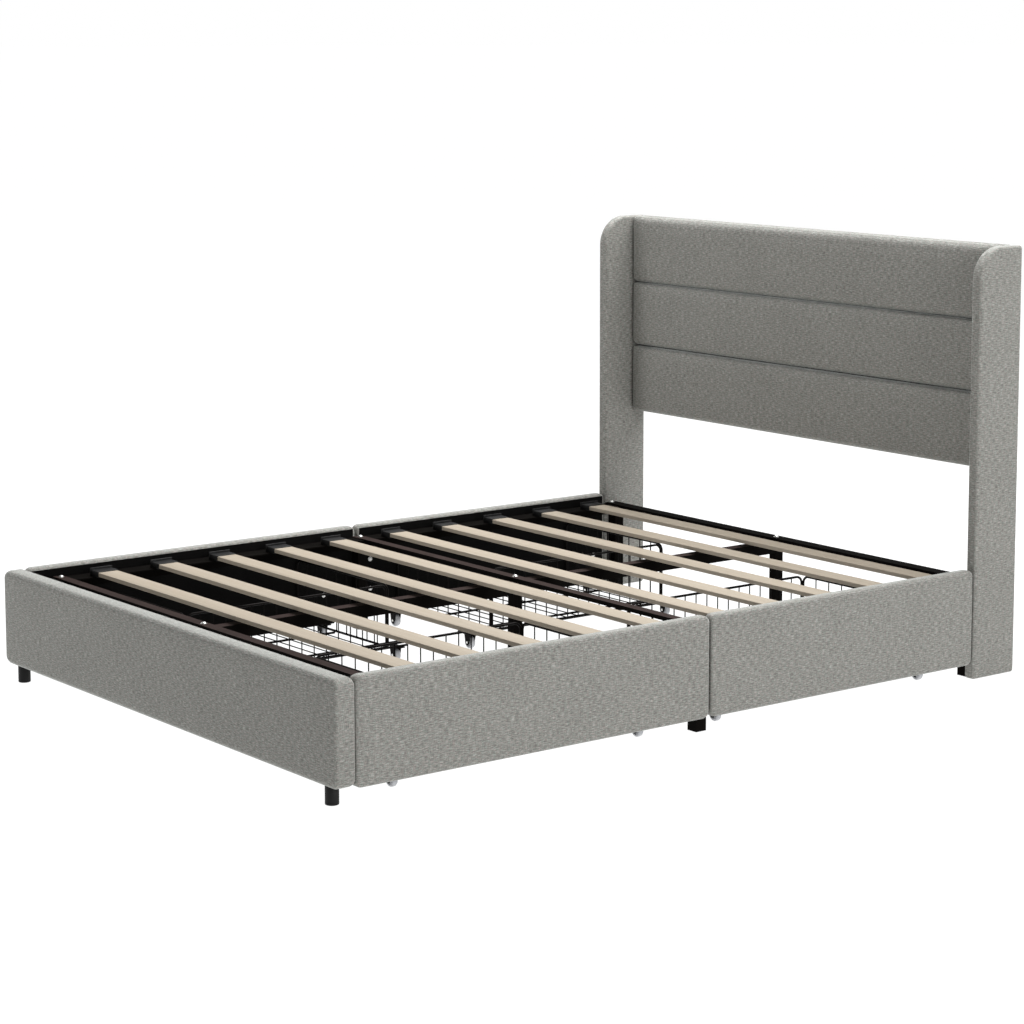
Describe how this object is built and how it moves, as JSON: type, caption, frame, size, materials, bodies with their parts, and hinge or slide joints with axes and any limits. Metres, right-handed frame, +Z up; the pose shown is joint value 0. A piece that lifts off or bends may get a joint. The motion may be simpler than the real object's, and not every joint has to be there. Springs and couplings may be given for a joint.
{
  "type": "platform bed with storage drawers",
  "caption": "Upholstered platform bed with a channelled wingback headboard, a slatted steel deck and rolling wire-basket drawers along both sides.",
  "frame": {"origin": "on the floor under the middle of the bed's overall box", "axes": "+Z up, +Y towards the headboard, +X towards the right-hand side as seen from the foot end"},
  "size_m": [1.463, 2.02, 1.062],
  "materials": {
    "fabric": "woven melange grey linen-look upholstery over foam and board",
    "frame_steel": "dark brown-black satin powder coat",
    "slat_wood": "pale sanded laminated poplar, unvarnished",
    "basket_wire": "black powder-coated wire",
    "foot_plastic": "matte black moulded plastic",
    "wheel": "translucent light grey caster wheel"
  },
  "bodies": {
    "root": {"footboard": "fabric", "foot_leg_left": "foot_plastic", "foot_leg_right": "foot_plastic", "wing_left": "fabric", "wing_right": "fabric", "headboard_panel": "fabric", "foot_cross_rail": "frame_steel", "mid_cross_rail": "frame_steel", "head_cross_rail": "frame_steel", "side_rail_left_foot": "frame_steel", "side_rail_left_head": "frame_steel", "side_rail_right_foot": "frame_steel", "side_rail_right_head": "frame_steel", "centre_beam": "frame_steel", "slat_01": "slat_wood", "slat_02": "slat_wood", "slat_03": "slat_wood", "slat_04": "slat_wood", "slat_05": "slat_wood", "slat_06": "slat_wood", "slat_07": "slat_wood", "slat_08": "slat_wood", "slat_09": "slat_wood", "slat_10": "slat_wood"},
    "drawer_left_foot": {"drawer_left_foot_front": "fabric", "drawer_left_foot_basket_bottom": "basket_wire", "drawer_left_foot_basket_side_foot": "basket_wire", "drawer_left_foot_basket_side_head": "basket_wire", "drawer_left_foot_basket_back": "basket_wire"},
    "drawer_left_foot_wheel_back_foot": {"drawer_left_foot_wheel_back_foot": "wheel"},
    "drawer_left_foot_wheel_back_head": {"drawer_left_foot_wheel_back_head": "wheel"},
    "drawer_left_foot_wheel_front_foot": {"drawer_left_foot_wheel_front_foot": "wheel"},
    "drawer_left_foot_wheel_front_head": {"drawer_left_foot_wheel_front_head": "wheel"},
    "drawer_right_foot": {"drawer_right_foot_front": "fabric", "drawer_right_foot_basket_bottom": "basket_wire", "drawer_right_foot_basket_side_foot": "basket_wire", "drawer_right_foot_basket_side_head": "basket_wire", "drawer_right_foot_basket_back": "basket_wire"},
    "drawer_right_foot_wheel_back_foot": {"drawer_right_foot_wheel_back_foot": "wheel"},
    "drawer_right_foot_wheel_back_head": {"drawer_right_foot_wheel_back_head": "wheel"},
    "drawer_right_foot_wheel_front_foot": {"drawer_right_foot_wheel_front_foot": "wheel"},
    "drawer_right_foot_wheel_front_head": {"drawer_right_foot_wheel_front_head": "wheel"},
    "drawer_left_head": {"drawer_left_head_front": "fabric", "drawer_left_head_basket_bottom": "basket_wire", "drawer_left_head_basket_side_foot": "basket_wire", "drawer_left_head_basket_side_head": "basket_wire", "drawer_left_head_basket_back": "basket_wire"},
    "drawer_left_head_wheel_back_foot": {"drawer_left_head_wheel_back_foot": "wheel"},
    "drawer_left_head_wheel_back_head": {"drawer_left_head_wheel_back_head": "wheel"},
    "drawer_left_head_wheel_front_foot": {"drawer_left_head_wheel_front_foot": "wheel"},
    "drawer_left_head_wheel_front_head": {"drawer_left_head_wheel_front_head": "wheel"},
    "drawer_right_head": {"drawer_right_head_front": "fabric", "drawer_right_head_basket_bottom": "basket_wire", "drawer_right_head_basket_side_foot": "basket_wire", "drawer_right_head_basket_side_head": "basket_wire", "drawer_right_head_basket_back": "basket_wire"},
    "drawer_right_head_wheel_back_foot": {"drawer_right_head_wheel_back_foot": "wheel"},
    "drawer_right_head_wheel_back_head": {"drawer_right_head_wheel_back_head": "wheel"},
    "drawer_right_head_wheel_front_foot": {"drawer_right_head_wheel_front_foot": "wheel"},
    "drawer_right_head_wheel_front_head": {"drawer_right_head_wheel_front_head": "wheel"}
  },
  "joints": [
    {"name": "drawer_left_foot_slide", "type": "slide", "parent": "root", "child": "drawer_left_foot", "axis": [-1, 0, 0], "range_m": [0, 0.45]},
    {"name": "drawer_left_foot_wheel_back_foot_spin", "type": "hinge", "parent": "drawer_left_foot", "child": "drawer_left_foot_wheel_back_foot", "pos_m": [-0.309, -0.811, 0.0162], "axis": [0, -1, 0], "continuous": true},
    {"name": "drawer_left_foot_wheel_back_head_spin", "type": "hinge", "parent": "drawer_left_foot", "child": "drawer_left_foot_wheel_back_head", "pos_m": [-0.309, -0.137, 0.0162], "axis": [0, -1, 0], "continuous": true},
    {"name": "drawer_left_foot_wheel_front_foot_spin", "type": "hinge", "parent": "drawer_left_foot", "child": "drawer_left_foot_wheel_front_foot", "pos_m": [-0.645, -0.811, 0.0162], "axis": [0, -1, 0], "continuous": true},
    {"name": "drawer_left_foot_wheel_front_head_spin", "type": "hinge", "parent": "drawer_left_foot", "child": "drawer_left_foot_wheel_front_head", "pos_m": [-0.645, -0.137, 0.0162], "axis": [0, -1, 0], "continuous": true},
    {"name": "drawer_right_foot_slide", "type": "slide", "parent": "root", "child": "drawer_right_foot", "axis": [1, 0, 0], "range_m": [0, 0.45]},
    {"name": "drawer_right_foot_wheel_back_foot_spin", "type": "hinge", "parent": "drawer_right_foot", "child": "drawer_right_foot_wheel_back_foot", "pos_m": [0.309, -0.811, 0.0162], "axis": [0, 1, 0], "continuous": true},
    {"name": "drawer_right_foot_wheel_back_head_spin", "type": "hinge", "parent": "drawer_right_foot", "child": "drawer_right_foot_wheel_back_head", "pos_m": [0.309, -0.137, 0.0162], "axis": [0, 1, 0], "continuous": true},
    {"name": "drawer_right_foot_wheel_front_foot_spin", "type": "hinge", "parent": "drawer_right_foot", "child": "drawer_right_foot_wheel_front_foot", "pos_m": [0.645, -0.811, 0.0162], "axis": [0, 1, 0], "continuous": true},
    {"name": "drawer_right_foot_wheel_front_head_spin", "type": "hinge", "parent": "drawer_right_foot", "child": "drawer_right_foot_wheel_front_head", "pos_m": [0.645, -0.137, 0.0162], "axis": [0, 1, 0], "continuous": true},
    {"name": "drawer_left_head_slide", "type": "slide", "parent": "root", "child": "drawer_left_head", "axis": [-1, 0, 0], "range_m": [0, 0.45]},
    {"name": "drawer_left_head_wheel_back_foot_spin", "type": "hinge", "parent": "drawer_left_head", "child": "drawer_left_head_wheel_back_foot", "pos_m": [-0.309, 0.097, 0.0162], "axis": [0, -1, 0], "continuous": true},
    {"name": "drawer_left_head_wheel_back_head_spin", "type": "hinge", "parent": "drawer_left_head", "child": "drawer_left_head_wheel_back_head", "pos_m": [-0.309, 0.757, 0.0162], "axis": [0, -1, 0], "continuous": true},
    {"name": "drawer_left_head_wheel_front_foot_spin", "type": "hinge", "parent": "drawer_left_head", "child": "drawer_left_head_wheel_front_foot", "pos_m": [-0.645, 0.097, 0.0162], "axis": [0, -1, 0], "continuous": true},
    {"name": "drawer_left_head_wheel_front_head_spin", "type": "hinge", "parent": "drawer_left_head", "child": "drawer_left_head_wheel_front_head", "pos_m": [-0.645, 0.757, 0.0162], "axis": [0, -1, 0], "continuous": true},
    {"name": "drawer_right_head_slide", "type": "slide", "parent": "root", "child": "drawer_right_head", "axis": [1, 0, 0], "range_m": [0, 0.45]},
    {"name": "drawer_right_head_wheel_back_foot_spin", "type": "hinge", "parent": "drawer_right_head", "child": "drawer_right_head_wheel_back_foot", "pos_m": [0.309, 0.097, 0.0162], "axis": [0, 1, 0], "continuous": true},
    {"name": "drawer_right_head_wheel_back_head_spin", "type": "hinge", "parent": "drawer_right_head", "child": "drawer_right_head_wheel_back_head", "pos_m": [0.309, 0.757, 0.0162], "axis": [0, 1, 0], "continuous": true},
    {"name": "drawer_right_head_wheel_front_foot_spin", "type": "hinge", "parent": "drawer_right_head", "child": "drawer_right_head_wheel_front_foot", "pos_m": [0.645, 0.097, 0.0162], "axis": [0, 1, 0], "continuous": true},
    {"name": "drawer_right_head_wheel_front_head_spin", "type": "hinge", "parent": "drawer_right_head", "child": "drawer_right_head_wheel_front_head", "pos_m": [0.645, 0.757, 0.0162], "axis": [0, 1, 0], "continuous": true}
  ],
  "couplings": [
    {"joint": "drawer_left_foot_wheel_back_foot_spin", "follows": "drawer_left_foot_slide", "rad_per_m": 62.5},
    {"joint": "drawer_left_foot_wheel_back_head_spin", "follows": "drawer_left_foot_slide", "rad_per_m": 62.5},
    {"joint": "drawer_left_foot_wheel_front_foot_spin", "follows": "drawer_left_foot_slide", "rad_per_m": 62.5},
    {"joint": "drawer_left_foot_wheel_front_head_spin", "follows": "drawer_left_foot_slide", "rad_per_m": 62.5},
    {"joint": "drawer_right_foot_wheel_back_foot_spin", "follows": "drawer_right_foot_slide", "rad_per_m": 62.5},
    {"joint": "drawer_right_foot_wheel_back_head_spin", "follows": "drawer_right_foot_slide", "rad_per_m": 62.5},
    {"joint": "drawer_right_foot_wheel_front_foot_spin", "follows": "drawer_right_foot_slide", "rad_per_m": 62.5},
    {"joint": "drawer_right_foot_wheel_front_head_spin", "follows": "drawer_right_foot_slide", "rad_per_m": 62.5},
    {"joint": "drawer_left_head_wheel_back_foot_spin", "follows": "drawer_left_head_slide", "rad_per_m": 62.5},
    {"joint": "drawer_left_head_wheel_back_head_spin", "follows": "drawer_left_head_slide", "rad_per_m": 62.5},
    {"joint": "drawer_left_head_wheel_front_foot_spin", "follows": "drawer_left_head_slide", "rad_per_m": 62.5},
    {"joint": "drawer_left_head_wheel_front_head_spin", "follows": "drawer_left_head_slide", "rad_per_m": 62.5},
    {"joint": "drawer_right_head_wheel_back_foot_spin", "follows": "drawer_right_head_slide", "rad_per_m": 62.5},
    {"joint": "drawer_right_head_wheel_back_head_spin", "follows": "drawer_right_head_slide", "rad_per_m": 62.5},
    {"joint": "drawer_right_head_wheel_front_foot_spin", "follows": "drawer_right_head_slide", "rad_per_m": 62.5},
    {"joint": "drawer_right_head_wheel_front_head_spin", "follows": "drawer_right_head_slide", "rad_per_m": 62.5}
  ]
}
